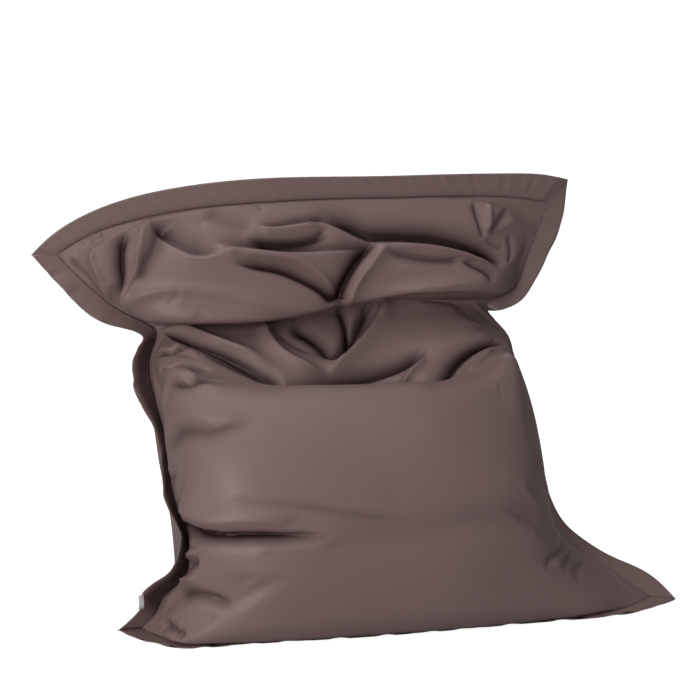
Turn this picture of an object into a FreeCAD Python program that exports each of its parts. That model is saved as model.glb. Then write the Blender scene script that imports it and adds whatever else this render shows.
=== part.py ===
"""Giant pillow bean bag chair, standing on its short edge with the top left slack as a head wing.

Frame: millimetres, +Z up, front of the seat towards -Y, +X to the right seen from the front.
The origin is the middle of the footprint on the floor. The cover is a flat-cut pillow of two panels with a
wide stitched flange all round, an inner liner full of beads, and a zip along the top edge between two lips.
The head wing leans back about the rear skin of the neck, the zip slider runs along the straight part of the
top edge, and its pull tab swings on the slider.
"""
import FreeCAD
import Part
import math
import os

V = FreeCAD.Vector

# ---------------------------------------------------------------- driving dimensions
CENTRE_Y = 23.0          # how far the finished chair is moved back, to put the origin under its middle
FLANGE = 60.0            # width of the stitched flange round the pillow
SKIN = 1.2               # coated cover fabric
SKIN_GAP = 1.0           # room between nested skins
LINER = 0.6              # inner liner fabric
THREAD_W = 1.2           # width of a line of topstitching
THREAD_T = 0.5           # how far the thread stands off the fabric
STITCH_INSET = 54.0      # topstitching of the flange, in from the cut edge
EDGE_STITCH_INSET = 6.0  # second line of stitching, in from the cut edge
TUCK = 70.0              # how far a strip of flange is drawn inside the filled part before it is trimmed

# seam plane of the lower bag, as two points (y, z) in the side view
SEAM_FOOT = (-348.0, 0.0)
SEAM_NECK = (150.0, 650.0)

# side view of the lower bag at its middle, (y, z), from the seam at the foot up the front and down the back
BAG_PROFILE = [
    (-340, -12), (-410, 4), (-464, 76), (-486, 180), (-484, 300), (-444, 420), (-376, 508), (-290, 552),
    (-196, 552), (-100, 530), (-20, 556), (50, 612), (118, 644), (196, 630), (288, 560), (362, 460), (414, 350),
    (441, 240), (424, 120), (350, 20), (240, -16), (80, -18), (-120, -18), (-340, -12),
]
BAG_LEFT, BAG_RIGHT = (-508.0, 0.05), (552.0, -0.19)   # each end: x at the foot, and x gained per mm up the seam
BAG_END_SHARE = 0.10     # depth of the bag's end sections, as a share of the middle
BAG_FULLNESS = 3.2       # power of the curve that the depth follows across the bag
BAG_END_LIFT = 30.0      # how far the seam plane's foot rises at the ends
BAG_LEFT_STITCH = [(-560, 30), (-500, 110), (-455, 210), (-462, 340), (-494, 520), (-488, 640), (-462, 716)]
BAG_RIGHT_STITCH = [(640, 26), (564, 100), (504, 220), (474, 360), (456, 520), (436, 640), (416, 712)]
BASE_FLANGE = [
    (-612, -240), (-500, -318), (-440, -346), (600, -346), (680, -320), (770, -300), (764, -326), (700, -376),
    (540, -402), (0, -412), (-460, -410), (-548, -340),
]

# head wing: plane of its flange, and its shape in the front view and in depth
WING_Y = 110.0
WING_LEFT_X, WING_RIGHT_X = -640.0, 520.0
WING_TOP = (868.0, 958.0, 62.0)     # height of the top line at the left end, at the right end, and its rise
WING_BOTTOM = (800.0, 800.0, -132.0)
WING_FRONT, WING_REAR = 150.0, 84.0
WING_PEAR = 1.25         # above 1 the wing is fullest below its middle
WING_SIDES = 20          # points round each section
WING_END_SHARE = 0.22
WING_LEFT_SIDE = [(-770, 850), (-700, 780), (-621, 700), (-500, 690), (-520, 780), (-600, 850), (-680, 880)]
WING_RIGHT_SIDE = [(611, 1015), (546, 809), (474, 716), (380, 712), (420, 800), (480, 860), (510, 1000)]
WING_EDGE = [(-770, 850), (-715, 900), (-600, 962), (-476, 998), (-330, 1020), (-150, 1033)]
WING_EDGE_RIGHT = [(490, 1033), (556, 1027), (611, 1015)]

STATIONS = 13            # sections across each filled part

# zip along the top edge, No. 5 nylon coil
ZIP_LEFT, ZIP_RIGHT = -600.0, 490.0
LIP_GAP = 9.2            # clear width between the two lips
COIL_W, COIL_T = 2.5, 2.6
COIL_TOP = 5.6           # depth of the top of the coil below the lips' edge
TAPE_T = 0.6
TAPE_DEPTH = 30.0        # how far the tapes reach down inside the lips
WEB_GAP = 0.8            # clear space between the two coils, where the slider's post runs
SLIDER_X, SLIDER_LEN, SLIDER_W = 472.0, 12.5, 8.6
PULL_BAR_R = 0.8
BAR_TACK_LEN = 50.0

# blank care label in the left side seam, and the hook and loop closure of the liner
LABEL_Q, LABEL_OUT, LABEL_TALL = 90.0, 16.0, 44.0
LINER_STRIP_Z, LINER_STRIP_TALL, LINER_STRIP_T = 985.0, 16.0, 1.8
LINER_STRIP_LEFT, LINER_STRIP_RIGHT = -150.0, 170.0


# ---------------------------------------------------------------- helpers
def open_spline(points):
    """A smooth open edge through the points."""
    curve = Part.BSplineCurve()
    curve.interpolate(Points=points)
    return curve.toShape()


def between(points, x):
    """Height at x on a line of (x, height) points."""
    for (xa, za), (xb, zb) in zip(points, points[1:]):
        if xa <= x <= xb:
            return za + (zb - za) * (x - xa) / (xb - xa)
    return points[-1][1] if x > points[0][0] else points[0][1]


def block(x0, x1, y0, y1, z0, z1):
    """A box between two corners."""
    return Part.makeBox(x1 - x0, y1 - y0, z1 - z0, V(x0, y0, z0))


def end_normal(row):
    """Unit normal of a flat end section, towards +X."""
    third = len(row) // 3
    normal = (row[third] - row[0]).cross(row[2 * third] - row[0])
    normal.normalize()
    return normal if normal.x > 0 else normal * -1


def sunk(rows, depth):
    """A closed grid of points moved inwards along its own normals; the flat ends stay flat."""
    if depth == 0:
        return rows
    last, around = len(rows) - 1, len(rows[0]) - 1
    moved = []
    for i, row in enumerate(rows):
        before, after = rows[max(i - 1, 0)], rows[min(i + 1, last)]
        way = 1 if i == 0 else -1 if i == last else 0
        end = end_normal(row)
        line = []
        for j, point in enumerate(row):
            j %= around
            across = after[j] - before[j]
            along = row[(j + 1) % around] - row[(j - 1) % around]
            normal = across.cross(along)
            if way:
                normal -= end * normal.dot(end)
            normal.normalize()
            line.append(point - normal * depth + end * (way * depth))
        moved.append(line)
    return moved


def filled(rows):
    """A closed solid whose skin passes smoothly through a grid of sections, with flat ends."""
    surface = Part.BSplineSurface()
    surface.interpolate(rows)
    skin = surface.toShape()
    u0, u1, _, _ = surface.bounds()
    caps = [Part.Face(Part.Wire([surface.uIso(u).toShape()])) for u in (u0, u1)]
    shell = Part.Shell([skin] + caps)
    shell.sewShape()
    solid = Part.Solid(shell)
    if solid.Volume < 0:
        solid.reverse()
    return solid


def panels(rows, depth, thickness, base, tool):
    """A closed skin split into its front and its back panel by a tool solid, with a flat base if one is given."""
    outer, inner = filled(sunk(rows, depth)), filled(sunk(rows, depth + thickness))
    if base is not None:
        outer = outer.cut(block(-900, 900, -900, 900, -300, base))
        inner = inner.cut(block(-900, 900, -900, 900, -300, base + thickness))
    skin = outer.cut(inner)
    if tool is None:
        return outer, skin
    return outer, skin.common(tool), skin.cut(tool)


def beyond(strip, filling):
    """What shows of a strip of flange outside the filled part it is sewn to."""
    return max(strip.cut(filling).Solids, key=lambda s: s.Volume)


def save(name, *shapes):
    """Writes one node as the group of its solids."""
    solids = [s.translated(V(0, CENTRE_Y, 0)) for shape in shapes for s in shape.Solids]
    group = solids[0] if len(solids) == 1 else Part.makeCompound(solids)
    if not all(s.isValid() and s.Volume > 0 for s in solids):
        raise ValueError(name + " holds a bad solid")
    group.exportStep(os.path.join("parts", name + ".step"))
    box = group.BoundBox
    print(f"{name}: {len(solids)} solid(s), {sum(s.Volume for s in solids) / 1000:.2f} cm3,", end=" ")
    print(f"x {box.XMin:.0f} {box.XMax:.0f}, y {box.YMin:.0f} {box.YMax:.0f}, z {box.ZMin:.1f} {box.ZMax:.1f}")


# ---------------------------------------------------------------- lower bag
SEAM_LEN = math.hypot(SEAM_NECK[0] - SEAM_FOOT[0], SEAM_NECK[1] - SEAM_FOOT[1])
SEAM_DIR = ((SEAM_NECK[0] - SEAM_FOOT[0]) / SEAM_LEN, (SEAM_NECK[1] - SEAM_FOOT[1]) / SEAM_LEN)


def seam_point(x, q, n=0.0):
    """A point from its place across, along the seam plane, and in front of it."""
    return V(x, SEAM_FOOT[0] + q * SEAM_DIR[0] - n * SEAM_DIR[1], SEAM_FOOT[1] + q * SEAM_DIR[1] + n * SEAM_DIR[0])


def bag_end(end, q):
    """Where one end of the bag lies across the seat at a place along the seam plane."""
    return end[0] + end[1] * q


def bag_rows():
    """Sections of the lower bag: the middle one, drawn in towards the seam plane at each end."""
    rows = []
    for i in range(STATIONS):
        s = math.sin((i / (STATIONS - 1) - 0.5) * math.pi)
        share = BAG_END_SHARE + (1 - BAG_END_SHARE) * (1 - abs(s) ** BAG_FULLNESS)
        row = []
        for y, z in BAG_PROFILE:
            q = (y - SEAM_FOOT[0]) * SEAM_DIR[0] + z * SEAM_DIR[1]
            n = -(y - SEAM_FOOT[0]) * SEAM_DIR[1] + z * SEAM_DIR[0]
            q = q * (0.9 + 0.1 * share) + BAG_END_LIFT * (1 - share)
            left, right = bag_end(BAG_LEFT, q), bag_end(BAG_RIGHT, q)
            row.append(seam_point((left + right) / 2 + s * (right - left) / 2, q, n * share))
        rows.append(row)
    return rows


def front_tool():
    """Everything in front of the seam plane."""
    corners = [seam_point(-900, -400), seam_point(-900, 1600), seam_point(900, 1600), seam_point(900, -400)]
    plane = Part.Face(Part.makePolygon(corners + corners[:1]))
    return plane.extrude(seam_point(0, 0, 900) - seam_point(0, 0, 0))


def side_strip(stitch, sign, low, high, near, far):
    """A strip along one side of the seam plane, between two distances out from the stitching."""
    inner = [seam_point(x + sign * near, q, low) for x, q in stitch]
    outer = [seam_point(x + sign * far, q, low) for x, q in stitch]
    edges = [open_spline(inner), open_spline(outer)]
    edges += [Part.makeLine(inner[0], outer[0]), Part.makeLine(inner[-1], outer[-1])]
    face = Part.Face(Part.Wire(Part.__sortEdges__(edges)))
    return face.extrude(seam_point(0, 0, high) - seam_point(0, 0, low))


def base_flange(low, high):
    """One layer of the flange that lies on the floor, in front of the foot seam."""
    corners = [V(x, y, low) for x, y in BASE_FLANGE]
    return Part.Face(Part.makePolygon(corners + corners[:1])).extrude(V(0, 0, high - low))


def make_lower_bag():
    rows, front = bag_rows(), front_tool()
    outer, front_skin, back_skin = panels(rows, 0.0, SKIN, 0.0, front)
    layers = {"front": (0.1, 0.1 + SKIN), "back": (-0.1 - SKIN, -0.1)}
    base = {"front": (SKIN + 0.1, 2 * SKIN + 0.1), "back": (0.0, SKIN)}
    liner_low = 2 * SKIN + 0.6
    clear = block(-900, 900, -900, SEAM_FOOT[0], -300, liner_low)
    under = base_flange(-1.0, liner_low)
    for name, skin in (("front", front_skin), ("back", back_skin)):
        low, high = layers[name]
        sides = [side_strip(BAG_LEFT_STITCH, -1, low, high, -TUCK, FLANGE)]
        sides.append(side_strip(BAG_RIGHT_STITCH, 1, low, high, -TUCK, FLANGE))
        shown = skin.cut(clear).cut(under)
        save(name + "_cover_lower", shown, *[beyond(s, outer) for s in sides], base_flange(*base[name]))
    save("inner_liner_lower", panels(rows, SKIN + SKIN_GAP, LINER, liner_low, None)[1])
    depth = SKIN + 2 * SKIN_GAP + LINER
    fill = filled(sunk(rows, depth)).cut(block(-900, 900, -900, 900, -300, depth))
    save("bead_fill_lower", fill)
    for name, sign in (("front", 1), ("back", -1)):
        near = sign * (0.1 + SKIN + 0.05)
        low, high = sorted((near, near + sign * THREAD_T))
        lines = []
        for stitch, way in ((BAG_LEFT_STITCH, -1), (BAG_RIGHT_STITCH, 1)):
            for inset in (STITCH_INSET, EDGE_STITCH_INSET):
                near = FLANGE - inset
                lines.append(beyond(side_strip(stitch, way, low, high, near, near + THREAD_W), outer))
        save("topstitch_lower_" + name, *lines)


# ---------------------------------------------------------------- head wing
def wing_rows():
    """Sections of the filled part of the head wing, pear shaped between a bottom and a top line."""
    rows = []
    for i in range(STATIONS):
        s = math.sin((i / (STATIONS - 1) - 0.5) * math.pi)
        x = (WING_LEFT_X + WING_RIGHT_X) / 2 + s * (WING_RIGHT_X - WING_LEFT_X) / 2
        full = 1 - s * s
        share = WING_END_SHARE + (1 - WING_END_SHARE) * full
        low, high = [a + (b - a) * (s + 1) / 2 + rise * full for a, b, rise in (WING_BOTTOM, WING_TOP)]
        row = []
        for j in range(WING_SIDES + 1):
            angle = 2 * math.pi * j / WING_SIDES
            depth = share * (WING_FRONT if math.sin(angle) > 0 else WING_REAR)
            height = ((1 - math.cos(angle)) / 2) ** WING_PEAR
            row.append(V(x, WING_Y - depth * math.sin(angle), low + height * (high - low)))
        rows.append(row)
    return rows


EDGE_POINTS = WING_EDGE + WING_EDGE_RIGHT


def edge_height(x):
    """Height of the cut top edge."""
    return between(EDGE_POINTS, x)


def edge_band(x0, x1, top, bottom, y0, y1):
    """A strip along the top edge, from top to bottom millimetres below it, and from y0 to y1 through it."""
    xs = [x0] + [x for x, _ in EDGE_POINTS if x0 + 1 < x < x1 - 1] + [x1]
    upper = [V(x, y0, edge_height(x) - top) for x in xs]
    lower = [V(x, y0, edge_height(x) - bottom) for x in reversed(xs)]
    return Part.Face(Part.makePolygon(upper + lower + upper[:1])).extrude(V(0, y1 - y0, 0))


def wing_side(outline, y0, y1):
    """One layer of the flange down one end of the wing, below the top band."""
    corners = [V(x, y0, z) for x, z in outline]
    return Part.Face(Part.makePolygon(corners + corners[:1])).extrude(V(0, y1 - y0, 0))


def make_head_wing():
    rows = wing_rows()
    tool = block(-900, 900, -900, WING_Y, 400, 1300)
    outer, front_skin, back_skin = panels(rows, 0.0, SKIN, None, tool)
    lip = LIP_GAP / 2
    left_x, right_x = EDGE_POINTS[0][0], EDGE_POINTS[-1][0]
    lip_y = {"front": (WING_Y - lip - SKIN, WING_Y - lip), "back": (WING_Y + lip, WING_Y + lip + SKIN)}
    side_y = {"front": (WING_Y - 0.1 - SKIN, WING_Y - 0.1), "back": (WING_Y + 0.1, WING_Y + 0.1 + SKIN)}
    over = edge_band(left_x, right_x, -60, FLANGE + TUCK / 2, WING_Y - 40, WING_Y + 40)
    for name, skin in (("front", front_skin), ("back", back_skin)):
        band = edge_band(left_x, right_x, 0, FLANGE + TUCK / 2, *lip_y[name])
        sides = [wing_side(outline, *side_y[name]).cut(over) for outline in (WING_LEFT_SIDE, WING_RIGHT_SIDE)]
        save(name + "_cover_upper", skin, beyond(band, outer), *[beyond(s, outer) for s in sides])
    save("inner_liner_upper", panels(rows, SKIN + SKIN_GAP, LINER, None, None)[1])
    save("bead_fill_upper", filled(sunk(rows, SKIN + 2 * SKIN_GAP + LINER)))
    for name, sign in (("front", -1), ("back", 1)):
        near = WING_Y + sign * (lip + SKIN + 0.05)
        low, high = sorted((near, near + sign * THREAD_T))
        lines = [
            edge_band(left_x + FLANGE, right_x - FLANGE, STITCH_INSET, STITCH_INSET + THREAD_W, low, high),
            edge_band(left_x + 8, right_x - 8, EDGE_STITCH_INSET, EDGE_STITCH_INSET + THREAD_W, low, high),
        ]
        save("topstitch_upper_" + name, *[beyond(line, outer) for line in lines])


def make_zip():
    lip, top = LIP_GAP / 2, COIL_TOP
    for side, name in ((-1, "front"), (1, "back")):
        face = sorted((WING_Y + side * (lip - 0.05), WING_Y + side * (lip - 0.05 - TAPE_T)))
        coil = sorted((WING_Y + side * (WEB_GAP / 2 + COIL_W), WING_Y + side * WEB_GAP / 2))
        shelf_y = sorted((WING_Y + side * (lip - 0.05), WING_Y + side * (WEB_GAP / 2 + COIL_W)))
        leg = edge_band(ZIP_LEFT, ZIP_RIGHT, top + 0.9, TAPE_DEPTH, *face)
        shelf = edge_band(ZIP_LEFT, ZIP_RIGHT, top + 0.9, top + 0.9 + TAPE_T, *shelf_y)
        save("zip_tape_" + name, leg.fuse(shelf).removeSplitter())
        save("zip_coil_" + name, edge_band(ZIP_LEFT + 8, ZIP_RIGHT - 8, top, top + COIL_T, *coil))
    stops = []
    for x in (ZIP_LEFT + 4, ZIP_RIGHT - 7):
        crimp_top = edge_height(x) - top - 1.6
        stops.append(block(x, x + 3, WING_Y - 2.9, WING_Y + 2.9, crimp_top, crimp_top + COIL_T))
    save("zip_end_stops", *stops)
    tacks = []
    for x in (ZIP_LEFT - 6, ZIP_RIGHT + 4):
        for y in (WING_Y - lip - SKIN - 0.05 - THREAD_T, WING_Y + lip + SKIN + 0.05):
            tacks.append(edge_band(x, x + 2, 9, BAR_TACK_LEN, y, y + THREAD_T))
    save("zip_bar_tacks", *tacks)


def make_slider():
    coil_top = edge_height(SLIDER_X) - COIL_TOP
    x0, x1 = SLIDER_X - SLIDER_LEN / 2, SLIDER_X + SLIDER_LEN / 2
    crown_low, crown_top = coil_top + 0.2, coil_top + 1.7
    keel_top = coil_top - COIL_T - 0.2
    crown = block(x0, x1, WING_Y - SLIDER_W / 2, WING_Y + SLIDER_W / 2, crown_low, crown_top)
    keel = block(x0, x1, WING_Y - 3.6, WING_Y + 3.6, keel_top - 1.3, keel_top)
    web = block(SLIDER_X - 4, SLIDER_X + 4, WING_Y - 0.3, WING_Y + 0.3, keel_top - 0.1, crown_low + 0.1)
    pivot_z = crown_top + 1.3
    arch = Part.makeCylinder(2.4, 2.4, V(SLIDER_X, WING_Y - 1.2, pivot_z), V(0, 1, 0))
    arch = arch.cut(block(-900, 900, 0, 300, 0, crown_top - 0.1))
    eye = Part.makeCylinder(1.0, 4.0, V(SLIDER_X, WING_Y - 2.0, pivot_z), V(0, 1, 0))
    save("zip_slider", crown.fuse(keel).fuse(web).fuse(arch).cut(eye).removeSplitter())
    bar = Part.makeCylinder(PULL_BAR_R, 6.0, V(SLIDER_X, WING_Y - 3.0, pivot_z), V(0, 1, 0))
    tab = block(SLIDER_X - 32, SLIDER_X - 5, WING_Y - 3.0, WING_Y + 3.0, pivot_z - 0.7, pivot_z + 0.7)
    for y in (WING_Y - 3.0, WING_Y + 1.8):
        tab = tab.fuse(block(SLIDER_X - 8, SLIDER_X, y, y + 1.2, pivot_z - 0.7, pivot_z + 0.7))
    hole = Part.makeCylinder(1.6, 4, V(SLIDER_X - 27, WING_Y, pivot_z - 2), V(0, 0, 1))
    save("pull_tab", tab.fuse(bar).cut(hole).removeSplitter())
    print(f"pull tab turns about x {SLIDER_X:.1f}, y {WING_Y + CENTRE_Y:.1f}, z {pivot_z:.2f}")


def make_trim():
    edge_x = between([(q, x) for x, q in BAG_LEFT_STITCH], LABEL_Q) - FLANGE
    label = Part.makeBox(LABEL_OUT, 0.5, LABEL_TALL)
    label.rotate(V(0, 0, 0), V(1, 0, 0), -math.degrees(math.atan2(SEAM_DIR[0], SEAM_DIR[1])))
    label.translate(seam_point(edge_x - LABEL_OUT - 0.3, LABEL_Q, 0.25))
    save("care_label", label)
    strip_top = LINER_STRIP_Z + LINER_STRIP_TALL
    for name, sign in (("liner_hook_strip", -1), ("liner_loop_strip", 1)):
        y0, y1 = sorted((WING_Y + sign * 0.1, WING_Y + sign * (0.1 + LINER_STRIP_T)))
        save(name, block(LINER_STRIP_LEFT, LINER_STRIP_RIGHT, y0, y1, LINER_STRIP_Z, strip_top))


os.makedirs("parts", exist_ok=True)
make_lower_bag()
make_head_wing()
make_zip()
make_slider()
make_trim()
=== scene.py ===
# %% [markdown]
# A giant pillow bean bag, stood on its short edge as a chair. The CAD holds the size, the joints and the zip;
# this lesson builds what is seen: one continuous faux leather cover with its folds, flange, stitching and zip.
# The frame comes first, because the zip's teeth and the care label ride on its bodies.

# %% The frame
import bpy
import math
import numpy as np
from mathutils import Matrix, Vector


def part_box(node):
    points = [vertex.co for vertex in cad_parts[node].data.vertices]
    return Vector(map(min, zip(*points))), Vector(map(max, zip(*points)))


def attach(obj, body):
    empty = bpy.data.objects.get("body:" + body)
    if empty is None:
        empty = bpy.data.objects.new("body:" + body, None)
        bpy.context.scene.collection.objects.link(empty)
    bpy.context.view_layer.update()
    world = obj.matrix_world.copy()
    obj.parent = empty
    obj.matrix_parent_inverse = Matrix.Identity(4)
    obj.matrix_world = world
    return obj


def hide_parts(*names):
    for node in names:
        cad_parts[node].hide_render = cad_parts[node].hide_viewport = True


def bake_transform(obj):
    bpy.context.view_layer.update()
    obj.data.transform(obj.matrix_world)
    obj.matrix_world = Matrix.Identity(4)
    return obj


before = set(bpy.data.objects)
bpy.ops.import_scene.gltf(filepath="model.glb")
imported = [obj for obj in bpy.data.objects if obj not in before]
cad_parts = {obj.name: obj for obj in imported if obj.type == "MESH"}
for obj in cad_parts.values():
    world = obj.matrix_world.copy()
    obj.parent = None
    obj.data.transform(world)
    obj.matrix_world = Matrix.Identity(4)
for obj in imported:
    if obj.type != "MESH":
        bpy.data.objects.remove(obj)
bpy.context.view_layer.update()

# %% [markdown]
# Small helpers. A surface is a grid of points worked out as whole arrays: rows run down the pillow from its top
# stitching to its foot, and columns run across it. A natural cubic spline carries a few given points to
# as many rows and columns as the finished cloth needs.

# %% Helpers for curves and meshes
def spline(knots, values, at):
    """Natural cubic spline: second derivatives M solve the tridiagonal system, and each span is the usual cubic."""
    knots, values, at = np.asarray(knots, float), np.asarray(values, float), np.asarray(at, float)
    n = len(knots)
    step = np.diff(knots)
    flat = values.reshape(n, -1)
    system = np.eye(n)
    right = np.zeros_like(flat)
    inner = np.arange(1, n - 1)
    system[inner, inner - 1] = step[:-1]
    system[inner, inner] = 2 * (step[:-1] + step[1:])
    system[inner, inner + 1] = step[1:]
    slope = np.diff(flat, axis=0) / step[:, None]
    right[1:-1] = 6 * np.diff(slope, axis=0)
    bend = np.linalg.solve(system, right)
    k = np.clip(np.searchsorted(knots, at, side="right") - 1, 0, n - 2)
    h = step[k][:, None]
    a = (knots[k + 1] - at)[:, None] / h
    b = (at - knots[k])[:, None] / h
    out = a * flat[k] + b * flat[k + 1] + ((a**3 - a) * bend[k] + (b**3 - b) * bend[k + 1]) * h * h / 6
    return out.reshape((len(at),) + values.shape[1:])


def smoothstep(low, high, x):
    """0 below low, 1 above high, and 3t^2 - 2t^3 between."""
    t = np.clip((x - low) / (high - low), 0, 1)
    return t * t * (3 - 2 * t)


def grid_faces(rows, columns, flip=False):
    """Quads of a grid, as rows of four point numbers."""
    r, c = np.meshgrid(np.arange(rows - 1), np.arange(columns - 1), indexing="ij")
    a = (r * columns + c).ravel()
    quads = np.stack([a, a + columns, a + columns + 1, a + 1], 1)
    return quads[:, ::-1] if flip else quads


def make_mesh(name, points, quads):
    """A mesh object at the origin from arrays of points and of faces of one size."""
    mesh = bpy.data.meshes.new(name)
    mesh.vertices.add(len(points))
    mesh.vertices.foreach_set("co", np.asarray(points, np.float32).ravel())
    side = quads.shape[1]
    mesh.loops.add(quads.size)
    mesh.polygons.add(len(quads))
    mesh.loops.foreach_set("vertex_index", quads.astype(np.int32).ravel())
    mesh.polygons.foreach_set("loop_start", np.arange(0, quads.size, side, dtype=np.int32))
    mesh.polygons.foreach_set("loop_total", np.full(len(quads), side, np.int32))
    mesh.update(calc_edges=True)
    mesh.validate()
    mesh.polygons.foreach_set("use_smooth", np.full(len(quads), True))
    obj = bpy.data.objects.new(name, mesh)
    bpy.context.scene.collection.objects.link(obj)
    return obj


def paint(obj, name, values):
    """Keeps one number for every point of a mesh, for its material to read."""
    layer = obj.data.attributes.new(name, "FLOAT", "POINT")
    layer.data.foreach_set("value", np.asarray(values, np.float32).ravel())

# %% [markdown]
# The cover is two equal panels sewn together 6 cm inside their cut edges, so both panels share one closed line of
# stitching. Down each side that line is given here from the top corner to the foot corner, next to the cut edge
# of the flange, which stands out from it. On the right the flange is folded back behind the seat.

# %% The side seams and the flange's cut edge
SEAM_AT = [0, 0.06, 0.13, 0.20, 0.26, 0.31, 0.36, 0.42, 0.48, 0.54, 0.60, 0.68, 0.77, 0.85, 0.90, 0.94, 0.975, 1]
SEAM_LEFT = [
    (-0.705, 0.133, 0.850), (-0.688, 0.133, 0.830), (-0.650, 0.132, 0.790), (-0.600, 0.130, 0.742),
    (-0.550, 0.130, 0.705), (-0.500, 0.132, 0.678), (-0.468, 0.125, 0.650), (-0.485, 0.090, 0.605),
    (-0.495, 0.045, 0.562), (-0.488, -0.005, 0.515), (-0.468, -0.055, 0.455), (-0.463, -0.120, 0.375),
    (-0.456, -0.190, 0.280), (-0.430, -0.235, 0.190), (-0.452, -0.262, 0.130), (-0.500, -0.270, 0.092),
    (-0.520, -0.262, 0.050), (-0.548, -0.240, 0.008),
]
SEAM_RIGHT = [
    (0.552, 0.133, 0.957), (0.540, 0.133, 0.905), (0.515, 0.132, 0.843), (0.493, 0.132, 0.785),
    (0.456, 0.134, 0.724), (0.398, 0.140, 0.697), (0.408, 0.120, 0.660), (0.438, 0.078, 0.618),
    (0.444, 0.045, 0.565), (0.443, 0.000, 0.510), (0.444, -0.050, 0.455), (0.444, -0.110, 0.385),
    (0.446, -0.175, 0.290), (0.475, -0.215, 0.185), (0.535, -0.238, 0.128), (0.600, -0.255, 0.085),
    (0.660, -0.272, 0.040), (0.700, -0.280, 0.012),
]
EDGE_LEFT = [
    (-0.768, 0.133, 0.850), (-0.735, 0.130, 0.812), (-0.695, 0.125, 0.765), (-0.645, 0.115, 0.712),
    (-0.590, 0.105, 0.678), (-0.532, 0.100, 0.662), (-0.505, 0.088, 0.642), (-0.530, 0.050, 0.603),
    (-0.538, 0.000, 0.555), (-0.528, -0.045, 0.512), (-0.496, -0.095, 0.448), (-0.488, -0.155, 0.370),
    (-0.478, -0.235, 0.285), (-0.458, -0.285, 0.215), (-0.500, -0.312, 0.155), (-0.552, -0.318, 0.118),
    (-0.556, -0.300, 0.070), (-0.606, -0.230, 0.003),
]
EDGE_RIGHT = [
    (0.611, 0.133, 1.015), (0.598, 0.130, 0.925), (0.570, 0.125, 0.845), (0.528, 0.120, 0.765),
    (0.474, 0.115, 0.698), (0.418, 0.126, 0.676), (0.400, 0.180, 0.668), (0.440, 0.145, 0.625),
    (0.450, 0.103, 0.585), (0.456, 0.058, 0.535), (0.460, 0.010, 0.480), (0.464, -0.055, 0.410),
    (0.470, -0.120, 0.312), (0.508, -0.172, 0.190), (0.572, -0.195, 0.132), (0.645, -0.222, 0.092),
    (0.722, -0.250, 0.052), (0.768, -0.289, 0.003),
]


def seam(table, r):
    """A side line at shares r of its length."""
    return spline(SEAM_AT, table, np.atleast_1d(r))


left_steps = np.diff(seam(SEAM_LEFT, np.linspace(0, 1, 400)), axis=0)
print("side seam length", round(float(np.linalg.norm(left_steps, axis=1).sum()), 3))

# %% [markdown]
# Each panel is a net of given points: seven across between the two seams, and one row for every turn of the
# cloth. The front runs from the top stitching over the head wing, tucks under it at the neck, forms the seat and its
# rim, and falls down the front to the floor. The back runs straight down and under.

# %% The two panels' nets
ACROSS = [-1, -0.8, -0.55, -0.28, 0, 0.28, 0.55, 0.8, 1]
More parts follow.
